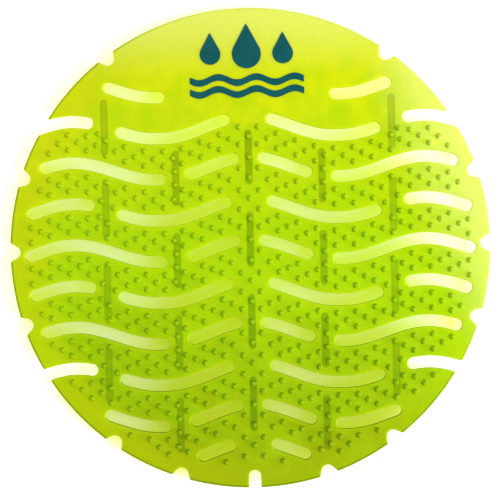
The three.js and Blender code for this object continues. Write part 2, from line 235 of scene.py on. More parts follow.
class Plan:
    """Where the rows, slots, ribs, studs and notches lie"""

    def __init__(self, sheet, studs):
        self.sheet = sheet
        self.studs = studs
        self.top_row_y = sheet.rim_radius - sheet.top_row_to_rim
        self.slot_radius = sheet.slot_width / 2

    def wave(self, x):
        s = self.sheet
        reach = abs(x)
        if reach < s.inner_trough_x:
            return s.inner_crest / 2 * (1 + math.cos(math.pi * reach / s.inner_trough_x))
        past = max(reach - s.inner_trough_x - s.trough_flat, 0)
        return s.outer_crest / 2 * (1 - math.cos(math.pi * past / s.outer_half_wave))

    def row_y(self, row):
        lift = self.sheet.last_row_lift if row == self.sheet.row_count else 0
        return self.top_row_y - self.sheet.row_pitch * (row - 1) + lift

    def on_row(self, row, x):
        return Vector((x, self.row_y(row) + self.wave(x)))

    def last_closed_x(self, row):
        s = self.sheet
        reach = s.rim_radius - s.rim_land - EXTRA_LAND.get(row, 0) - self.slot_radius
        x = s.rim_radius
        while x > 0 and self.on_row(row, x).length > reach:
            x -= 0.1 * MM
        return x

    def slot_spans(self, row):
        """(start, end, open at the rim) of each slot's centre line on the right-hand side"""
        s = self.sheet
        odd = row % 2 == 1
        last = self.last_closed_x(row)
        bridge_x = s.inner_rib_x if odd else s.outer_rib_x
        bridge = (s.inner_bridge if odd else s.outer_bridge) / 2 + self.slot_radius
        land = s.odd_row_land if odd else s.even_row_land
        spans = []
        if row > 1:
            spans.append((land / 2 + self.slot_radius, min(bridge_x - bridge, last), False))
        start = bridge_x + bridge
        if last - start + s.slot_width >= s.shortest_slot:
            spans.append((start, last, False))
        elif self.on_row(row, start).length < s.rim_radius - s.slot_width:
            spans.append((start, s.rim_radius, True))
        return [span for span in spans if span[1] - span[0] + s.slot_width >= s.shortest_slot]

    def slots(self):
        rows = range(1, self.sheet.row_count + 1)
        return [(row, *span) for row in rows for span in self.slot_spans(row)]

    def slot_line(self, row, start, end, step=1.6 * MM):
        """Points of a slot's centre line with their directions"""
        steps = max(4, round((end - start) / step))
        line = []
        for i in range(steps + 1):
            x = start + (end - start) * i / steps
            ahead = self.on_row(row, x + 0.05 * MM) - self.on_row(row, x - 0.05 * MM)
            line.append((self.on_row(row, x), math.atan2(ahead.y, ahead.x)))
        return line

    def slot_sides(self, row, start, end):
        """A slot's centre line, with its lower and upper edges"""
        line = self.slot_line(row, start, end)
        lower = [beside(p, a - math.pi / 2, self.slot_radius) for p, a in line]
        upper = [beside(p, a + math.pi / 2, self.slot_radius) for p, a in line]
        return line, lower, upper

    def slot_outline(self, row, start, end, end_segments=10):
        """A closed slot's outline on the right-hand side, counter-clockwise"""
        line, lower, upper = self.slot_sides(row, start, end)
        (first, first_angle), (last, last_angle) = line[0], line[-1]
        turns = [math.pi * (i / end_segments - 0.5) for i in range(1, end_segments)]
        far = [beside(last, last_angle + turn, self.slot_radius) for turn in turns]
        near = [beside(first, first_angle + math.pi + turn, self.slot_radius) for turn in turns]
        return lower + far + upper[::-1] + near

    def open_slot_path(self, row, start, end, end_segments=10):
        """An open slot's edge on the right-hand side, from the rim in and out again"""
        line, lower, upper = self.slot_sides(row, start, end)
        first, angle = line[0]
        turns = [math.pi * (1.5 - i / end_segments) for i in range(1, end_segments)]
        round_end = [beside(first, angle + turn, self.slot_radius) for turn in turns]
        lower = until_rim(lower, self.sheet.rim_radius)
        upper = until_rim(upper, self.sheet.rim_radius)
        return lower[::-1] + round_end + upper

    def notch_path(self, angle, segments=7):
        """A grip notch's edge, counter-clockwise along the rim"""
        s = self.sheet
        half = s.notch_width / 2
        bottom = s.rim_radius - s.notch_depth
        shoulder = s.rim_radius - s.notch_depth / 2
        side = [(s.rim_radius, -half), (shoulder, -0.6 * half), (bottom, -0.6 * half), (bottom, 0)]
        path = [bezier(side, i / segments) for i in range(segments + 1)]
        path += [Vector((p.x, -p.y)) for p in reversed(path[:-1])]
        return [turned(p, angle) for p in path]

    def bottom_notch_path(self, segments=10):
        s = self.sheet
        radius = s.bottom_notch_width / 2
        centre = Vector((0, s.bottom_notch_depth - s.rim_radius - radius))
        mouth = -math.sqrt(s.rim_radius**2 - radius**2)
        legs = [mouth + (centre.y - mouth) * i / 4 for i in range(4)]
        left = [Vector((-radius, y)) for y in legs]
        arc = [beside(centre, math.pi * (1 - i / segments), radius) for i in range(segments + 1)]
        right = [Vector((radius, y)) for y in reversed(legs)]
        return left + arc + right

    def rim_features(self):
        """Paths that interrupt the round rim, each with the angle of its middle"""
        s = self.sheet
        features = []
        for row, start, end, is_open in self.slots():
            if is_open:
                path = self.open_slot_path(row, start, end)
                features.append(path)
                features.append([Vector((-p.x, p.y)) for p in reversed(path)])
        taken = [middle_angle(path) for path in features]
        pitch = 2 * math.pi / s.notch_count
        for i in range(s.notch_count):
            angle = i * pitch
            in_plain = abs(angle - math.pi / 2) < PLAIN_RIM / 2
            if abs(angle - 3 * math.pi / 2) < pitch / 2:
                features.append(self.bottom_notch_path())
            elif not in_plain and all(abs(angle - other) > pitch / 2 for other in taken):
                features.append(self.notch_path(angle))
        return sorted(features, key=lambda path: angle_of(path[0]) % (2 * math.pi))

    def rim_outline(self, step=1.8 * MM):
        """The whole rim, counter-clockwise, with its notches and open slots"""
        radius = self.sheet.rim_radius
        features = self.rim_features()
        outline = []
        for path, following in zip(features, features[1:] + features[:1]):
            outline += path
            start = angle_of(path[-1])
            sweep = (angle_of(following[0]) - start) % (2 * math.pi)
            steps = max(2, round(radius * sweep / step))
            centre = Vector((0, 0))
            outline += [beside(centre, start + sweep * i / steps, radius) for i in range(1, steps)]
        return soften(outline, 0.7 * MM)

    def ribs(self):
        """(row, x, y) of every rib's middle"""
        s = self.sheet
        places = []
        for row in range(2, s.row_count):
            odd_columns = (-s.inner_rib_x, 0, s.inner_rib_x)
            columns = odd_columns if row % 2 == 1 else (-s.outer_rib_x, s.outer_rib_x)
            places += [(row, x, self.on_row(row, x).y) for x in columns]
        return places

    def rib_reach(self):
        """From a rib's middle to the centre of its round end"""
        s = self.sheet
        return s.row_pitch - self.slot_radius - s.rib_end_gap - s.rib_width / 2

    def rib_outline(self, x, y, end_segments=8):
        radius = self.sheet.rib_width / 2
        reach = self.rib_reach()
        turns = [math.pi * i / end_segments for i in range(end_segments + 1)]
        top = [beside(Vector((x, y + reach)), turn, radius) for turn in turns]
        bottom = [beside(Vector((x, y - reach)), math.pi + turn, radius) for turn in turns]
        steps = 8
        left = [top[-1].lerp(bottom[0], i / steps) for i in range(1, steps)]
        right = [bottom[-1].lerp(top[0], i / steps) for i in range(1, steps)]
        return top + left + bottom + right

    def lattice_studs(self):
        s, t = self.sheet, self.studs
        places = []
        for row in range(2, s.row_count):
            for column in range(2, int(s.rim_radius / t.pitch) + 1):
                x = column * t.pitch
                middle = self.on_row(row, x) - Vector((0, s.row_pitch / 2))
                spread = t.pair_spacing / 2
                offsets = (spread, -spread) if column % 2 == 1 else (0,)
                places += [middle + Vector((0, offset)) for offset in offsets]
        return places

    def middle_studs(self):
        s, t = self.sheet, self.studs
        places = []
        for row in range(2, s.row_count + 1):
            y = self.top_row_y - s.row_pitch * (row - 1)
            down = t.first_column_down_odd if row % 2 == 1 else t.first_column_down_even
            places.append(Vector((0, y + s.inner_crest)))
            places.append(Vector((t.pitch, y + t.first_column_up)))
            if row < s.row_count:
                places.append(Vector((0, y + s.inner_crest - s.row_pitch / 2)))
                places.append(Vector((t.pitch, y - down)))
            else:
                places.append(Vector((3 * t.pitch, y + t.first_column_up - t.width)))
        return places

    def bridge_studs(self):
        places = []
        for row, x, y in self.ribs():
            if x > 0:
                offsets = INNER_BRIDGE_STUDS if row % 2 == 1 else OUTER_BRIDGE_STUDS
                places += [Vector((x + dx, y + dy)) for dx, dy in offsets]
        return places

    def stud_places(self):
        """(place, foot fillet) of every stud; the fillet stops short of the slots' edges"""
        s, t = self.sheet, self.studs
        lines = [(row, start, end) for row, start, end, _ in self.slots()]
        paths = [[p for p, _ in self.slot_line(*line, step=0.5 * MM)] for line in lines]
        clearance = self.slot_radius + t.width / 2 + t.slot_gap
        kept, fillets = [], []
        for stud in self.bridge_studs() + self.middle_studs() + self.lattice_studs():
            in_field = stud.y < s.rim_radius - t.plain_field_depth
            in_field = in_field and stud.length < s.rim_radius - t.rim_land
            if not in_field or any((other - stud).length < t.spacing for other in kept):
                continue
            near = [path for path in paths if abs(path[0].y - stud.y) < s.row_pitch]
            free = min((p - stud).length for path in near for p in path)
            if free >= clearance:
                room = free - self.slot_radius - s.edge_round - (t.width + t.taper) / 2
                kept.append(stud)
                fillets.append(max(0.02 * MM, min(t.foot_round, room - 0.03 * MM)))
        right = list(zip(kept, fillets))
        return right + [(Vector((-p.x, p.y)), fillet) for p, fillet in right if p.x > 0]


def beside(point, angle, distance):
    return point + Vector((math.cos(angle), math.sin(angle))) * distance


def turned(point, angle):
    c, s = math.cos(angle), math.sin(angle)
    return Vector((c * point.x - s * point.y, s * point.x + c * point.y))


def angle_of(point):
    return math.atan2(point.y, point.x)


def middle_angle(path):
    return angle_of((path[0] + path[-1]) / 2) % (2 * math.pi)


def bezier(points, t):
    a, b, c, d = (Vector(p) for p in points)
    u = 1 - t
    return a * u**3 + b * (3 * u * u * t) + c * (3 * u * t * t) + d * t**3


def until_rim(path, radius):
    """The stretch of a path that lies inside the rim, ending on it"""
    inside = [p for p in path if p.length < radius]
    last, beyond = inside[-1], path[len(inside)]
    low, high = 0.0, 1.0
    for _ in range(30):
        middle = (low + high) / 2
        if last.lerp(beyond, middle).length < radius:
            low = middle
        else:
            high = middle
    on_rim = last.lerp(beyond, low)
    return [p for p in inside if (p - on_rim).length > 1.5 * MM] + [on_rim]


def soften(outline, cut, least_turn=math.radians(20), segments=5):
    """The outline with its corners rounded to arcs that start at most a cut before the corner"""
    rounded = []
    count = len(outline)
    for i, point in enumerate(outline):
        back, ahead = outline[i - 1] - point, outline[(i + 1) % count] - point
        turn = math.atan2((-back).cross(ahead), (-back).dot(ahead))
        if abs(turn) < least_turn:
            rounded.append(point)
            continue
        reach = min(cut, back.length * 0.48, ahead.length * 0.48)
        radius = reach / math.tan(abs(turn) / 2)
        start = point + back.normalized() * reach
        side = math.copysign(math.pi / 2, turn)
        heading = angle_of(-back)
        centre = beside(start, heading + side, radius)
        for j in range(segments + 1):
            rounded.append(beside(centre, heading - side + turn * j / segments, radius))
    return rounded


def outward_normals(outline):
    """Unit normals to the right of a closed path, out of the plastic when it lies on the left"""
    normals = []
    count = len(outline)
    for i in range(count):
        ahead = (outline[(i + 1) % count] - outline[i]).normalized()
        behind = (outline[i] - outline[i - 1]).normalized()
        along = (ahead + behind).normalized()
        normals.append(Vector((along.y, -along.x)))
    return normals


# The mesh, built with its own smooth normals


class Skin:
    """Points, faces and point normals of one closed surface"""

    def __init__(self):
        self.points = []
        self.normals = []
        self.faces = []

    def add(self, x, y, z, normal):
        self.points.append((x, y, z))
        self.normals.append(tuple(normal.normalized()))
        return len(self.points) - 1

    def ring(self, outline, sides, inset, z, tilt):
        """A ring at an inset from the outline; tilt is 0 where it faces up and 1 where it faces
        sideways, and a negative z share makes it face down"""
        out, up = tilt
        ring = []
        for point, side in zip(outline, sides):
            place = point - side * inset
            normal = Vector((side.x * out, side.y * out, up))
            ring.append(self.add(place.x, place.y, z, normal))
        return ring

    def strip(self, upper, lower):
        """Faces between two rings, facing to the right of their direction"""
        count = len(upper)
        for i in range(count):
            j = (i + 1) % count
            self.faces.append((upper[i], lower[i], lower[j], upper[j]))

    def strips(self, rings):
        for upper, lower in zip(rings, rings[1:]):
            self.strip(upper, lower)

    def to_object(self, name):
        mesh = bpy.data.meshes.new(name)
        mesh.from_pydata(self.points, [], self.faces)
        mesh.validate()
        mesh.update()
        mesh.polygons.foreach_set("use_smooth", [True] * len(mesh.polygons))
        mesh.normals_split_custom_set_from_vertices(self.normals)
        piece = bpy.data.objects.new(name, mesh)
        bpy.context.scene.collection.objects.link(piece)
        return piece


QUARTER_TURN = [(math.sin(angle), math.cos(angle)) for angle in (0.0, math.pi / 4, math.pi / 2)]


def rounded_wall(skin, outline, top, bottom, radius):
    """Rings down a wall with both edges rounded, from the top face to the bottom face"""
    sides = outward_normals(outline)
    rings = []
    for out, up in QUARTER_TURN:
        z = top - radius * (1 - up)
        rings.append(skin.ring(outline, sides, radius * (1 - out), z, (out, up)))
    for out, up in reversed(QUARTER_TURN):
        z = bottom + radius * (1 - up)
        rings.append(skin.ring(outline, sides, radius * (1 - out), z, (out, -up)))
    skin.strips(rings)
    return rings[0], rings[-1]


def inside(point, outline):
    hit = False
    for a, b in zip(outline, outline[1:] + outline[:1]):
        if (a.y > point.y) != (b.y > point.y):
            if point.x < a.x + (b.x - a.x) * (point.y - a.y) / (b.y - a.y):
                hit = not hit
    return hit


def cap(skin, rim, holes, facing_up):
    """Fills the face between the rim ring and the hole rings with triangles"""
    rings = [rim] + holes
    ids = [i for ring in rings for i in ring]
    flat = [Vector(skin.points[i][:2]) / MM for i in ids]
    owner = [r for r, ring in enumerate(rings) for _ in ring]
    edges = []
    start = 0
    for ring in rings:
        count = len(ring)
        edges += [(start + i, start + (i + 1) % count) for i in range(count)]
        start += count
    result = delaunay_2d_cdt(flat, edges, [], 1, 1e-6)
    new_points, triangles, origins = result[0], result[2], result[3]
    back = [origin[0] if origin else -1 for origin in origins]
    outlines = [[Vector(skin.points[i][:2]) for i in ring] for ring in rings]
    for a, b, c in triangles:
        if -1 in (back[a], back[b], back[c]):
            crossing = new_points[(a, b, c)[[back[a], back[b], back[c]].index(-1)]]
            place = f"{crossing.x:.2f}, {crossing.y:.2f} mm"
            raise RuntimeError(f"the outlines of the sheet cross at {place}")
        owners = {owner[back[a]], owner[back[b]], owner[back[c]]}
        if len(owners) == 1:
            middle = (new_points[a] + new_points[b] + new_points[c]) / 3 * MM
            ring_number = owners.pop()
            if inside(middle, outlines[ring_number]) != (ring_number == 0):
                continue
        corners = [ids[back[a]], ids[back[b]], ids[back[c]]]
        turn = (new_points[b] - new_points[a]).cross(new_points[c] - new_points[a])
        if (turn > 0) != facing_up:
            corners.reverse()
        skin.faces.append(tuple(corners))


def stud(skin, place, fillet, base, studs):
    """A round post with a filleted foot and a domed tip; returns its foot ring"""
    count = studs.sides
    turns = [2 * math.pi * i / count for i in range(count)]
    circle = [Vector((math.cos(t), math.sin(t))) for t in turns]
    foot, tip = studs.width / 2 + studs.taper / 2, studs.width / 2 - studs.taper / 2
    top = base + studs.height
    profile = []
    for out, up in QUARTER_TURN:
        profile.append((foot + fillet * (1 - out), base + fillet * (1 - up), (out, up)))
    for share in (0.0, 0.45, 0.85):
        out, up = math.cos(share * math.pi / 2), math.sin(share * math.pi / 2)
        reach = tip - studs.tip_round * (1 - out)
        profile.append((reach, top - studs.tip_round * (1 - up), (out, up)))
    rings = []
    for reach, z, (out, up) in profile:
        ring = []
        for side in circle:
            normal = Vector((side.x * out, side.y * out, up))
            ring.append(skin.add(place.x + side.x * reach, place.y + side.y * reach, z, normal))
        rings.append(ring)
    for lower, upper in zip(rings, rings[1:]):
        skin.strip(upper, lower)
    crown = skin.add(place.x, place.y, top, Vector((0, 0, 1)))
    last = rings[-1]
    for i in range(count):
        skin.faces.append((last[i], last[(i + 1) % count], crown))
    return rings[0]


def rib(skin, outline, web_bottom, foot_z, foot_round, edge_round):
    """A rib that stands down from the back; returns the ring where it meets the sheet"""
    sides = outward_normals(outline)
    rings = []
    for out, up in QUARTER_TURN:
        z = web_bottom - foot_round * (1 - up)
        rings.append(skin.ring(outline, sides, -foot_round * (1 - out), z, (out, -up)))
    for out, up in reversed(QUARTER_TURN):
        z = foot_z + edge_round * (1 - up)
        rings.append(skin.ring(outline, sides, edge_round * (1 - out), z, (out, -up)))
    skin.strips(rings)
    base = rings[-1]
    corners = [Vector(skin.points[i]) for i in base]
    for a, b, c in tessellate_polygon([corners]):
        turn = (corners[b] - corners[a]).cross(corners[c] - corners[a]).z
        face = (base[a], base[b], base[c]) if turn < 0 else (base[c], base[b], base[a])
        skin.faces.append(face)
    return rings[0]


def clockwise(outline):
    return outline[::-1]


def mirrored(outline):
    return [Vector((-p.x, p.y)) for p in reversed(outline)]


def build_sheet(settings):
    """The whole moulding as one closed mesh"""
    sheet, studs = settings.sheet, settings.studs
    plan = Plan(sheet, studs)
    skin = Skin()
    bottom = SCREEN_LOW[2] + sheet.rib_height
    top = bottom + sheet.web_thickness
    rim_top, rim_bottom = rounded_wall(skin, plan.rim_outline(), top, bottom, sheet.edge_round)
    top_holes, bottom_holes = [], []
    for row, start, end, is_open in plan.slots():
        if is_open:
            continue
        right = plan.slot_outline(row, start, end)
        for outline in (right, mirrored(right)):
            wall = rounded_wall(skin, clockwise(outline), top, bottom, sheet.edge_round)
            top_holes.append(wall[0])
            bottom_holes.append(wall[1])
    for place, fillet in plan.stud_places():
        top_holes.append(stud(skin, place, fillet, top, studs))
    for _, x, y in plan.ribs():
        outline = plan.rib_outline(x, y)
        rounds = (sheet.rib_foot_round, sheet.rib_edge_round)
        bottom_holes.append(rib(skin, outline, bottom, SCREEN_LOW[2], *rounds))
    cap(skin, rim_top, top_holes, True)
    cap(skin, rim_bottom, bottom_holes, False)
    return skin.to_object("moulded_screen")


# Shared effects, as node groups


def shared_group(name, build):
    """The node group of this name, built the first time it is asked for"""
    return bpy.data.node_groups.get(name) or build(name)


def new_group(name, inputs, outputs):
    group = bpy.data.node_groups.new(name, "ShaderNodeTree")
    for socket, kind, value in inputs:
        made = group.interface.new_socket(socket, in_out="INPUT", socket_type=kind)
        if value is not None:
            made.default_value = value
    for socket, kind in outputs:
        group.interface.new_socket(socket, in_out="OUTPUT", socket_type=kind)
    return group, group.nodes.new("NodeGroupInput"), group.nodes.new("NodeGroupOutput")


def math_node(tree, operation, a, b=None, c=None, clamp=False):
    """A math node fed with sockets or numbers; returns its output"""
    node = tree.nodes.new("ShaderNodeMath")
    node.operation = operation
    node.use_clamp = clamp
    for socket, value in zip(node.inputs, (a, b, c)):
        if isinstance(value, (int, float)):
            socket.default_value = value
        elif value is not None:
            tree.links.new(value, socket)
    return node.outputs[0]


def largest(tree, values):
    found = values[0]
    for value in values[1:]:
        found = math_node(tree, "MAXIMUM", found, value)
    return found


def from_centre(tree, x, y):
    squares = math_node(tree, "ADD", math_node(tree, "POWER", x, 2.0), math_node(tree, "POWER", y, 2.0))
    return math_node(tree, "SQRT", squares)


def smooth_step(tree, value, low, high, out_low=0.0, out_high=1.0):
    node = tree.nodes.new("ShaderNodeMapRange")
    node.interpolation_type = "SMOOTHSTEP"
    tree.links.new(value, node.inputs["Value"])
    limits = {"From Min": low, "From Max": high, "To Min": out_low, "To Max": out_high}
    for name, number in limits.items():
        if isinstance(number, (int, float)):
            node.inputs[name].default_value = number
        else:
            tree.links.new(number, node.inputs[name])
    return node.outputs["Result"]


def mix_colour(tree, share, first, second, blend="MIX"):
    node = tree.nodes.new("ShaderNodeMix")
    node.data_type = "RGBA"
    node.blend_type = blend
    factor, a, b = node.inputs[0], node.inputs[6], node.inputs[7]
    for socket, value in ((factor, share), (a, first), (b, second)):
        if isinstance(value, (int, float)):
            socket.default_value = value
        elif isinstance(value, tuple):
            socket.default_value = (*value, 1.0)
        else:
            tree.links.new(value, socket)
    return node.outputs[2]


def colour_ramp(tree, value, stops):
    node = tree.nodes.new("ShaderNodeValToRGB")
    node.color_ramp.interpolation = "EASE"
    while len(node.color_ramp.elements) < len(stops):
        node.color_ramp.elements.new(0.5)
    for element, (position, shade) in zip(node.color_ramp.elements, stops):
        element.position = position
        element.color = (*shade, 1.0)
    tree.links.new(value, node.inputs["Fac"])
    return node.outputs["Color"]


def object_place(tree):
    """Sockets with the x, y and z of the place on the object, in metres"""
    place = tree.nodes.new("ShaderNodeTexCoord")
    parts = tree.nodes.new("ShaderNodeSeparateXYZ")
    tree.links.new(place.outputs["Object"], parts.inputs[0])
    return parts.outputs


def rib_shade_group(name):
    """1 on the sheet where a rib of one column stands behind it, fading out beside it"""
    inputs = [
        ("Column", "NodeSocketFloat", 0.0),
        ("Top Rib", "NodeSocketFloat", 0.0),
        ("Rib Pitch", "NodeSocketFloat", 0.03),
        ("Rib Count", "NodeSocketFloat", 4.0),
        ("Reach", "NodeSocketFloat", 0.009),
        ("Half Width", "NodeSocketFloat", 0.00115),
        ("Blur", "NodeSocketFloat", 0.0006),
    ]
    outputs = [("Mask", "NodeSocketFloat"), ("Outline", "NodeSocketFloat")]
    tree, given, result = new_group(name, inputs, outputs)
    x, y, _ = object_place(tree)
    aside = math_node(tree, "SUBTRACT", math_node(tree, "ABSOLUTE", x), given.outputs["Column"])
    down = math_node(tree, "SUBTRACT", given.outputs["Top Rib"], y)
    turn = math_node(tree, "DIVIDE", down, given.outputs["Rib Pitch"])
    last = math_node(tree, "SUBTRACT", given.outputs["Rib Count"], 1.0)
    nearest = math_node(tree, "ROUND", turn)
    nearest = math_node(tree, "MINIMUM", math_node(tree, "MAXIMUM", nearest, 0.0), last)
    to_nearest = math_node(tree, "MULTIPLY", nearest, given.outputs["Rib Pitch"])
    along = math_node(tree, "SUBTRACT", down, to_nearest)
    past_end = math_node(tree, "SUBTRACT", math_node(tree, "ABSOLUTE", along), given.outputs["Reach"])
    past_end = math_node(tree, "MAXIMUM", past_end, 0.0)
    distance = from_centre(tree, aside, past_end)
    inner = math_node(tree, "SUBTRACT", given.outputs["Half Width"], given.outputs["Blur"])
    outer = math_node(tree, "ADD", given.outputs["Half Width"], given.outputs["Blur"])
    mask = smooth_step(tree, distance, inner, outer, 1.0, 0.0)
    tree.links.new(mask, result.inputs["Mask"])
    past_edge = math_node(tree, "SUBTRACT", distance, given.outputs["Half Width"])
    past_edge = math_node(tree, "ABSOLUTE", past_edge)
    outline = smooth_step(tree, past_edge, 0.0, given.outputs["Blur"], 1.0, 0.0)
    tree.links.new(outline, result.inputs["Outline"])
    return tree


def mould_grain_group(name):
    """Clouds for the colour, and the fine skin of a moulded or printed surface as a height"""
    inputs = [
        ("Cloud Scale", "NodeSocketFloat", 30.0),
        ("Skin Scale", "NodeSocketFloat", 1500.0),
        ("Ripple Scale", "NodeSocketFloat", 220.0),
    ]
    outputs = [("Clouds", "NodeSocketFloat"), ("Height", "NodeSocketFloat")]
    tree, given, result = new_group(name, inputs, outputs)
    place = tree.nodes.new("ShaderNodeTexCoord").outputs["Object"]
    patterns = (("Cloud Scale", 3.0, 0.55), ("Skin Scale", 2.0, 0.6), ("Ripple Scale", 2.0, 0.5))
    noises = []
    for socket, detail, rough in patterns:
        noise = tree.nodes.new("ShaderNodeTexNoise")
        noise.inputs["Detail"].default_value = detail
        noise.inputs["Roughness"].default_value = rough
        tree.links.new(place, noise.inputs["Vector"])
        tree.links.new(given.outputs[socket], noise.inputs["Scale"])
        noises.append(noise.outputs["Fac"])
    clouds = smooth_step(tree, noises[0], 0.3, 0.7)
    height = math_node(tree, "MULTIPLY_ADD", noises[1], 0.25, noises[2])
    tree.links.new(clouds, result.inputs["Clouds"])
    tree.links.new(height, result.inputs["Height"])
    return tree


def edge_turn_group(name):
    """1 where the surface has turned away from the front or the back, as on a wall or a fillet"""
    inputs = [("Flat", "NodeSocketFloat", 0.98), ("Steep", "NodeSocketFloat", 0.5)]
    outputs = [("Mask", "NodeSocketFloat"), ("Upward", "NodeSocketFloat")]
    tree, given, result = new_group(name, inputs, outputs)
    place = tree.nodes.new("ShaderNodeTexCoord")
    parts = tree.nodes.new("ShaderNodeSeparateXYZ")
    tree.links.new(place.outputs["Normal"], parts.inputs[0])
    facing = math_node(tree, "ABSOLUTE", parts.outputs["Z"])
    mask = smooth_step(tree, facing, given.outputs["Steep"], given.outputs["Flat"], 1.0, 0.0)
    tree.links.new(mask, result.inputs["Mask"])
    upward = smooth_step(tree, parts.outputs["Y"], 0.1, 0.5)
    tree.links.new(math_node(tree, "MULTIPLY", mask, upward), result.inputs["Upward"])
    return tree


def place_group(tree, group, values):
    node = tree.nodes.new("ShaderNodeGroup")
    node.node_tree = group
    for name, value in values.items():
        node.inputs[name].default_value = value
    return node.outputs


# Materials


def new_material(name):
    material = bpy.data.materials.new(name)
    material.use_nodes = True
    shader = material.node_tree.nodes["Principled BSDF"]
    return material, material.node_tree, shader


def finish_skin(tree, shader, grain, roughness, strength, distance):
    """Roughness that drifts from low to high with the clouds, and the fine skin as bump"""
    low, high = roughness
    drift = math_node(tree, "MULTIPLY_ADD", grain["Clouds"], high - low, low)
    tree.links.new(drift, shader.inputs["Roughness"])
    bump = tree.nodes.new("ShaderNodeBump")
    bump.inputs["Strength"].default_value = strength
    bump.inputs["Distance"].default_value = distance
    tree.links.new(grain["Height"], bump.inputs["Height"])
    tree.links.new(bump.outputs["Normal"], shader.inputs["Normal"])


def rib_and_stud_shade_mask(tree, settings, z, web_top):
    """Painted shade by how much plastic lies behind the surface: over the ribs, and in the studs"""
    sheet = settings.sheet
    plan = Plan(sheet, settings.studs)
    columns = (
        (sheet.inner_rib_x, 3, INNER_RIB_SHADE),
        (sheet.outer_rib_x, 2, OUTER_RIB_SHADE),
        (0.0, 3, MIDDLE_RIB_SHADE),
    )
    ribs, outlines = [], []
    for column, first_row, depth in columns:
        shade = place_group(tree, shared_group("Rib Shade", rib_shade_group), {
            "Column": column,
            "Top Rib": plan.on_row(first_row, column).y,
            "Rib Pitch": 2 * sheet.row_pitch,
            "Reach": plan.rib_reach(),
            "Half Width": sheet.rib_width / 2,
        })
        ribs.append(math_node(tree, "MULTIPLY", shade["Mask"], depth))
        outlines.append(math_node(tree, "MULTIPLY", shade["Outline"], RIB_OUTLINE_SHADE))
    # Painted shade over the ribs and their outlines, and in the studs
    shade_over_rib = math_node(tree, "ADD", largest(tree, ribs), largest(tree, outlines))
    shade_in_stud = smooth_step(tree, z, web_top + 0.2 * MM, web_top + 1.2 * MM, 0.0, STUD_SHADE)
    return largest(tree, [shade_over_rib, shade_in_stud])


def painted_edge_shade_mask(tree, settings, turn, place, web_top):
    """Painted shade: a dark line along the lower edge of each slot, and along the rim at the lower left
    """
    x, y, z = place
    radius = settings.sheet.rim_radius
    # Painted shade along the lower edge of each slot
    below_web_top = smooth_step(tree, z, web_top, web_top + 0.1 * MM, 1.0, 0.0)
    slot_line = math_node(tree, "MULTIPLY", turn["Upward"], below_web_top)
    diagonal = math_node(tree, "ADD", x, y)
    # Painted shade along the rim, deepest at the lower left
    depth = smooth_step(tree, diagonal, 0.1 * radius, 0.9 * radius, 0.8, 0.1)
    off_centre = from_centre(tree, x, y)
    rim_shade_line = smooth_step(tree, off_centre, radius - 1.1 * MM, radius - 0.4 * MM, 0.0, depth)
    return largest(tree, [slot_line, rim_shade_line])


def painted_light_lime(tree, settings, clouds, patches, place):
    """Lime with painted light: it deepens downwards, is paler at the top and the right, and is lighter
    and warmer along the left rim
    """
    x, y, _ = place
    radius, colours = settings.sheet.rim_radius, settings.colours
    drift = math_node(tree, "MULTIPLY_ADD", clouds, CLOUD_DRIFT, RAMP_MIDDLE)
    # Painted light: the place on the ramp rises towards the top and towards the sides
    height = math_node(tree, "MULTIPLY_ADD", y, 0.5 / radius, drift)
    aside = math_node(tree, "ABSOLUTE", x)
    to_sides = smooth_step(tree, aside, 0.6 * radius, radius, 0.0, SIDE_LIGHT_LIFT)
    height = math_node(tree, "ADD", height, to_sides)
    height = math_node(tree, "MULTIPLY_ADD", patches, PATCH_DRIFT, height)
    limes = (
        colours.lime_shaded_bottom, colours.lime_shaded_lower, colours.lime_middle,
        colours.lime_lit_upper, colours.lime_lit_top,
    )
    body = colour_ramp(tree, height, list(zip(LIGHT_RAMP_STOPS, limes)))
    # Painted light along the rim: lighter and warmer, strongest at the left
    rim_light_strength = smooth_step(tree, x, -0.8 * radius, 0.2 * radius, 0.5, 0.1)
    off_centre = from_centre(tree, x, y)
    rim_light_mask = smooth_step(tree, off_centre, 0.80 * radius, 0.95 * radius, 0.0, rim_light_strength)
    body = mix_colour(tree, rim_light_mask, body, tuple(colours.lit_rim_lime))
    # Painted light: the sheet turns paler towards the right rim and the top
    rightward = math_node(tree, "MULTIPLY_ADD", y, 0.35, x)
    pale = largest(tree, [
        smooth_step(tree, rightward, 0.70 * radius, 1.05 * radius, 0.0, 0.6),
        smooth_step(tree, y, 0.70 * radius, 1.0 * radius, 0.0, 0.5),
    ])
    return mix_colour(tree, pale, body, tuple(colours.flare_lime))


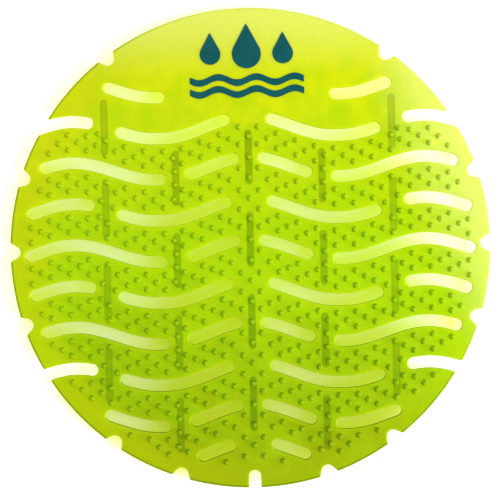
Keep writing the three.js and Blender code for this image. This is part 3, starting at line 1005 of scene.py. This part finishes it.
def lime_plastic(settings):
    """Soft scented plastic: painted shade makes it deeper in colour over the ribs, in the studs and
    along the edges, and painted light makes it paler towards the top and the right
    """
    sheet, colours = settings.sheet, settings.colours
    material, tree, shader = new_material("lime_plastic")
    web_top = SCREEN_LOW[2] + sheet.rib_height + sheet.web_thickness
    mould_grain = shared_group("Mould Grain", mould_grain_group)
    grain = place_group(tree, mould_grain, {"Cloud Scale": LIME_CLOUDS})
    patches = place_group(tree, mould_grain, {"Cloud Scale": LIME_PATCHES})
    turn = place_group(tree, shared_group("Edge Turn", edge_turn_group), {})
    place = object_place(tree)

    # Painted shade over the ribs and in the studs
    rib_stud_shade = rib_and_stud_shade_mask(tree, settings, place[2], web_top)
    # Painted shade on walls and fillets, where the surface turns away from the front or the back
    edge = math_node(tree, "MULTIPLY", turn["Mask"], EDGE_SHADE)
    # Painted shade along the lower slot edges and the rim at the lower left
    edge_line_shade = painted_edge_shade_mask(tree, settings, turn, place, web_top)
    body = painted_light_lime(tree, settings, grain["Clouds"], patches["Clouds"], place)
    body = mix_colour(tree, rib_stud_shade, body, tuple(colours.rib_and_stud_shade_lime), "MULTIPLY")
    body = mix_colour(tree, edge, body, tuple(colours.edge_shade_lime), "MULTIPLY")
    body = mix_colour(tree, edge_line_shade, body, tuple(colours.edge_shade_lime), "MULTIPLY")
    tree.links.new(body, shader.inputs["Base Color"])
    finish_skin(tree, shader, grain, (0.28, 0.36), 0.12, 0.4 * MM)
    shader.inputs["IOR"].default_value = 1.48
    shader.inputs["Subsurface Weight"].default_value = 0.85
    shader.inputs["Subsurface Radius"].default_value = (1.0, 1.0, 0.15)
    shader.inputs["Subsurface Scale"].default_value = 2.5 * MM
    shader.inputs["Specular IOR Level"].default_value = 0.1

    passed = tree.nodes.new("ShaderNodeBsdfTransparent")
    passed.inputs["Color"].default_value = (*colours.glow, 1.0)
    rays = tree.nodes.new("ShaderNodeLightPath")
    mixed = tree.nodes.new("ShaderNodeMixShader")
    tree.links.new(rays.outputs["Is Shadow Ray"], mixed.inputs[0])
    tree.links.new(shader.outputs["BSDF"], mixed.inputs[1])
    tree.links.new(passed.outputs["BSDF"], mixed.inputs[2])
    tree.links.new(mixed.outputs["Shader"], tree.nodes["Material Output"].inputs["Surface"])
    return material


def teal_ink(settings):
    """Flat pad-printed ink, a little thinner in places"""
    colours = settings.colours
    material, tree, shader = new_material("teal_ink")
    mould_grain = shared_group("Mould Grain", mould_grain_group)
    grain = place_group(tree, mould_grain, {"Cloud Scale": INK_CLOUDS, "Skin Scale": INK_SKIN})
    thin = math_node(tree, "MULTIPLY", grain["Clouds"], 0.6)
    body = mix_colour(tree, thin, tuple(colours.ink), tuple(colours.ink_worn))
    tree.links.new(body, shader.inputs["Base Color"])
    finish_skin(tree, shader, grain, (0.38, 0.50), 0.15, 0.2 * MM)
    shader.inputs["Specular IOR Level"].default_value = 0.15
    return material


def clear_openings(tree, radius, x, y):
    """1 on the floor where it shows through a gap in the rim: an open slot or the bottom notch"""
    aside, across = math_node(tree, "ABSOLUTE", x), math_node(tree, "ABSOLUTE", y)
    edges = (
        smooth_step(tree, aside, *OPEN_SLOT_SIDE),
        smooth_step(tree, across, *OPEN_SLOT_NEAR),
        smooth_step(tree, across, *OPEN_SLOT_FAR, 1.0, 0.0),
    )
    open_slots = math_node(tree, "MULTIPLY", edges[0], math_node(tree, "MULTIPLY", *edges[1:]))
    bottom_notch = math_node(
        tree, "MULTIPLY",
        smooth_step(tree, aside, 3 * MM, 6 * MM, 1.0, 0.0),
        smooth_step(tree, y, 7 * MM - radius, 10 * MM - radius, 1.0, 0.0),
    )
    return largest(tree, [open_slots, bottom_notch])


def painted_floor_glow(tree, settings, x, y, rightward):
    """Painted light on the floor under the sheet: lime, paler to the sides, and paler where a slot
    faces the light
    """
    radius, colours = settings.sheet.rim_radius, settings.colours
    height = math_node(tree, "MULTIPLY_ADD", y, 0.5 / radius, 0.5)
    tinted = colour_ramp(tree, height, [
        (0.1, colours.floor_bottom), (0.5, colours.floor_middle), (0.85, colours.floor_top),
    ])
    aside = math_node(tree, "ABSOLUTE", x)
    # Painted light through the slots: paler where the wave falls to the right
    wave = math_node(tree, "MULTIPLY", x, math.pi / settings.sheet.inner_trough_x)
    facing_light = math_node(tree, "MULTIPLY_ADD", math_node(tree, "SINE", wave), 0.12, 0.03)
    paler = math_node(
        tree, "ADD",
        smooth_step(tree, aside, 25 * MM, 80 * MM, 0.0, 0.42),
        smooth_step(tree, rightward, 0.1 * radius, 0.9 * radius, 0.0, 0.4),
    )
    paler = math_node(tree, "ADD", paler, facing_light)
    return mix_colour(tree, paler, tinted, tuple(colours.floor))


def white_floor(settings):
    """A matt white table that shows as white to the camera and keeps its shadows, with painted lime
    light on it under the sheet and a painted glow towards the right
    """
    material, tree, shader = new_material("white_floor")
    shader.inputs["Roughness"].default_value = 0.9
    shader.inputs["Specular IOR Level"].default_value = 0.1
    x, y, _ = object_place(tree)
    radius = settings.sheet.rim_radius
    off_centre = from_centre(tree, x, y)
    rightward = math_node(tree, "MULTIPLY_ADD", y, 0.45, x)
    openings = clear_openings(tree, radius, x, y)
    outside = smooth_step(tree, off_centre, radius - 5.5 * MM, radius - 3.5 * MM)
    # Painted lime light on the floor under the sheet
    tinted = painted_floor_glow(tree, settings, x, y, rightward)
    clear = largest(tree, [openings, outside])
    shade = mix_colour(tree, clear, tinted, tuple(settings.colours.floor))
    tree.links.new(shade, shader.inputs["Base Color"])
    tree.links.new(shade, shader.inputs["Emission Color"])

    surround = smooth_step(tree, off_centre, radius - 5 * MM, radius + 5 * MM)
    # Painted glow seen by the camera: brighter towards the right, and a faint lime glow under the sheet
    flare = smooth_step(tree, rightward, 0.58 * radius, 1.05 * radius, 0.0, 0.8)
    bright = largest(tree, [openings, surround, flare])
    glow = math_node(tree, "MULTIPLY_ADD", bright, 0.45, 0.04)
    rays = tree.nodes.new("ShaderNodeLightPath")
    kinds = ("Is Camera Ray", "Is Glossy Ray", "Is Transmission Ray")
    seen = largest(tree, [rays.outputs[kind] for kind in kinds])
    tree.links.new(math_node(tree, "MULTIPLY", seen, glow), shader.inputs["Emission Strength"])
    return material


# The print


def drop_outline(radius, segments=40, tip=2.1):
    """A water drop: a round body with straight flanks that meet at the tip"""
    shoulder = math.pi / 2 + math.acos(1 / tip)
    sweep = 2 * (math.pi - math.acos(1 / tip))
    centre = Vector((0, 0))
    body = [beside(centre, shoulder + sweep * i / segments, radius) for i in range(segments + 1)]
    point = Vector((0, tip * radius))
    flank = [0.25, 0.5, 0.75]
    right = [body[-1].lerp(point, share) for share in flank]
    left = [point.lerp(body[0], share) for share in flank]
    return body + right + [point] + left


def stripe_outline(mark, waves=3, steps=96):
    lower, upper = [], []
    for i in range(steps + 1):
        x = mark.width * (i / steps - 0.5)
        middle = mark.stripe_swing * math.sin(2 * math.pi * waves * x / mark.width)
        lower.append(Vector((x, middle - mark.stripe_width / 2)))
        upper.append(Vector((x, middle + mark.stripe_width / 2)))
    return lower + upper[::-1]


def build_print(name, outline, x, y, bottom, thickness):
    """One printed shape as a thin closed plate with rounded corners"""
    skin = Skin()
    outline = [p + Vector((x, y)) for p in soften(outline, 0.35 * MM)]
    edges = rounded_wall(skin, outline, bottom + thickness, bottom, 0.06 * MM)
    cap(skin, edges[0], [], True)
    cap(skin, edges[1], [], False)
    return skin.to_object(name)


# Operators


class SCREEN_OT_sheet(bpy.types.Operator):
    """Models the moulded sheet with its slots, studs, ribs and notches"""

    bl_idname = "urinal_screen.sheet"
    bl_label = "Model the Sheet"

    def execute(self, context):
        settings = context.scene.urinal_screen
        piece = build_sheet(settings)
        piece.data.materials.append(lime_plastic(settings))
        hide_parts("screen")
        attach(piece, "root")
        return {"FINISHED"}


class SCREEN_OT_print(bpy.types.Operator):
    """Prints the three drops and two waves on the plain field"""

    bl_idname = "urinal_screen.print"
    bl_label = "Print the Water Motif"

    def execute(self, context):
        settings = context.scene.urinal_screen
        mark = settings.mark
        material = teal_ink(settings)
        pieces = {
            "drop_centre": drop_outline(mark.centre_drop),
            "drop_left": drop_outline(mark.side_drop),
            "drop_right": drop_outline(mark.side_drop),
            "wave_upper": stripe_outline(mark),
            "wave_lower": stripe_outline(mark),
        }
        for name, outline in pieces.items():
            low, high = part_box("printed_" + name)
            x = (low[0] + high[0]) / 2
            outline_low = min(p.y for p in outline)
            y = low[1] - outline_low
            piece = build_print("ink_" + name, outline, x, y, low[2], mark.thickness)
            piece.data.materials.append(material)
            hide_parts("printed_" + name)
            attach(piece, "root")
        return {"FINISHED"}


class SCREEN_OT_stage(bpy.types.Operator):
    """Sets out the floor, the soft lights and the camera"""

    bl_idname = "urinal_screen.stage"
    bl_label = "Set the Stage"

    def execute(self, context):
        scene = context.scene
        settings = scene.urinal_screen
        scene.view_settings.view_transform = "Standard"
        corners = [(-FLOOR_HALF, -FLOOR_HALF), (FLOOR_HALF, -FLOOR_HALF)]
        corners += [(FLOOR_HALF, FLOOR_HALF), (-FLOOR_HALF, FLOOR_HALF)]
        mesh = bpy.data.meshes.new("floor")
        mesh.from_pydata([(x, y, SCREEN_LOW[2]) for x, y in corners], [], [(0, 1, 2, 3)])
        floor = bpy.data.objects.new("floor", mesh)
        floor.data.materials.append(white_floor(settings))
        scene.collection.objects.link(floor)

        world = bpy.data.worlds.new("soft_white_room")
        world.use_nodes = True
        background = world.node_tree.nodes["Background"]
        background.inputs["Color"].default_value = (1, 1, 1, 1)
        background.inputs["Strength"].default_value = ROOM_LIGHT
        scene.world = world
        for lamp in LAMPS:
            area_light(*lamp)

        camera = bpy.data.cameras.new("camera")
        camera.lens = 100
        camera.sensor_width = 36
        seen = 2 * settings.sheet.rim_radius / RIM_SHARE
        height = camera.lens / camera.sensor_width * seen
        view = bpy.data.objects.new("camera", camera)
        top = SCREEN_LOW[2] + settings.sheet.rib_height + settings.sheet.web_thickness
        aim = turned(Vector(AIM_OFFSET) * seen, -CAMERA_ROLL)
        view.location = (aim.x, aim.y, top + height)
        view.rotation_euler = (0, 0, -CAMERA_ROLL)
        scene.collection.objects.link(view)
        scene.camera = view
        return {"FINISHED"}


def area_light(name, place, size, power):
    light = bpy.data.lights.new(name, "AREA")
    light.shape = "DISK"
    light.size = size
    light.energy = power
    lamp = bpy.data.objects.new(name, light)
    lamp.location = place
    lamp.rotation_euler = (-Vector(place)).to_track_quat("-Z", "Y").to_euler()
    bpy.context.scene.collection.objects.link(lamp)


class SCREEN_PT_panel(bpy.types.Panel):
    """Lists the screen's sizes, colours and steps"""

    bl_label = "Urinal Deodorizer Screen"
    bl_space_type = "VIEW_3D"
    bl_region_type = "UI"
    bl_category = "Screen"

    def draw(self, context):
        settings = context.scene.urinal_screen
        for step in OPERATORS:
            self.layout.operator(step.bl_idname)
        for group in (settings.sheet, settings.studs, settings.mark, settings.colours):
            box = self.layout.box()
            for name in group.__annotations__:
                box.prop(group, name)


OPERATORS = (SCREEN_OT_sheet, SCREEN_OT_print, SCREEN_OT_stage)
SETTINGS = (SheetSizes, StudSizes, PrintSizes, ScreenColours, ScreenSettings)
CLASSES = (*SETTINGS, *OPERATORS, SCREEN_PT_panel)


def register():
    for cls in CLASSES:
        bpy.utils.register_class(cls)
    bpy.types.Scene.urinal_screen = PointerProperty(type=ScreenSettings)


def unregister():
    del bpy.types.Scene.urinal_screen
    for cls in reversed(CLASSES):
        bpy.utils.unregister_class(cls)


def main():
    register()
    bpy.ops.urinal_screen.sheet()
    bpy.ops.urinal_screen.print()
    bpy.ops.urinal_screen.stage()
    bpy.context.view_layer.update()


if __name__ == "__main__":
    main()
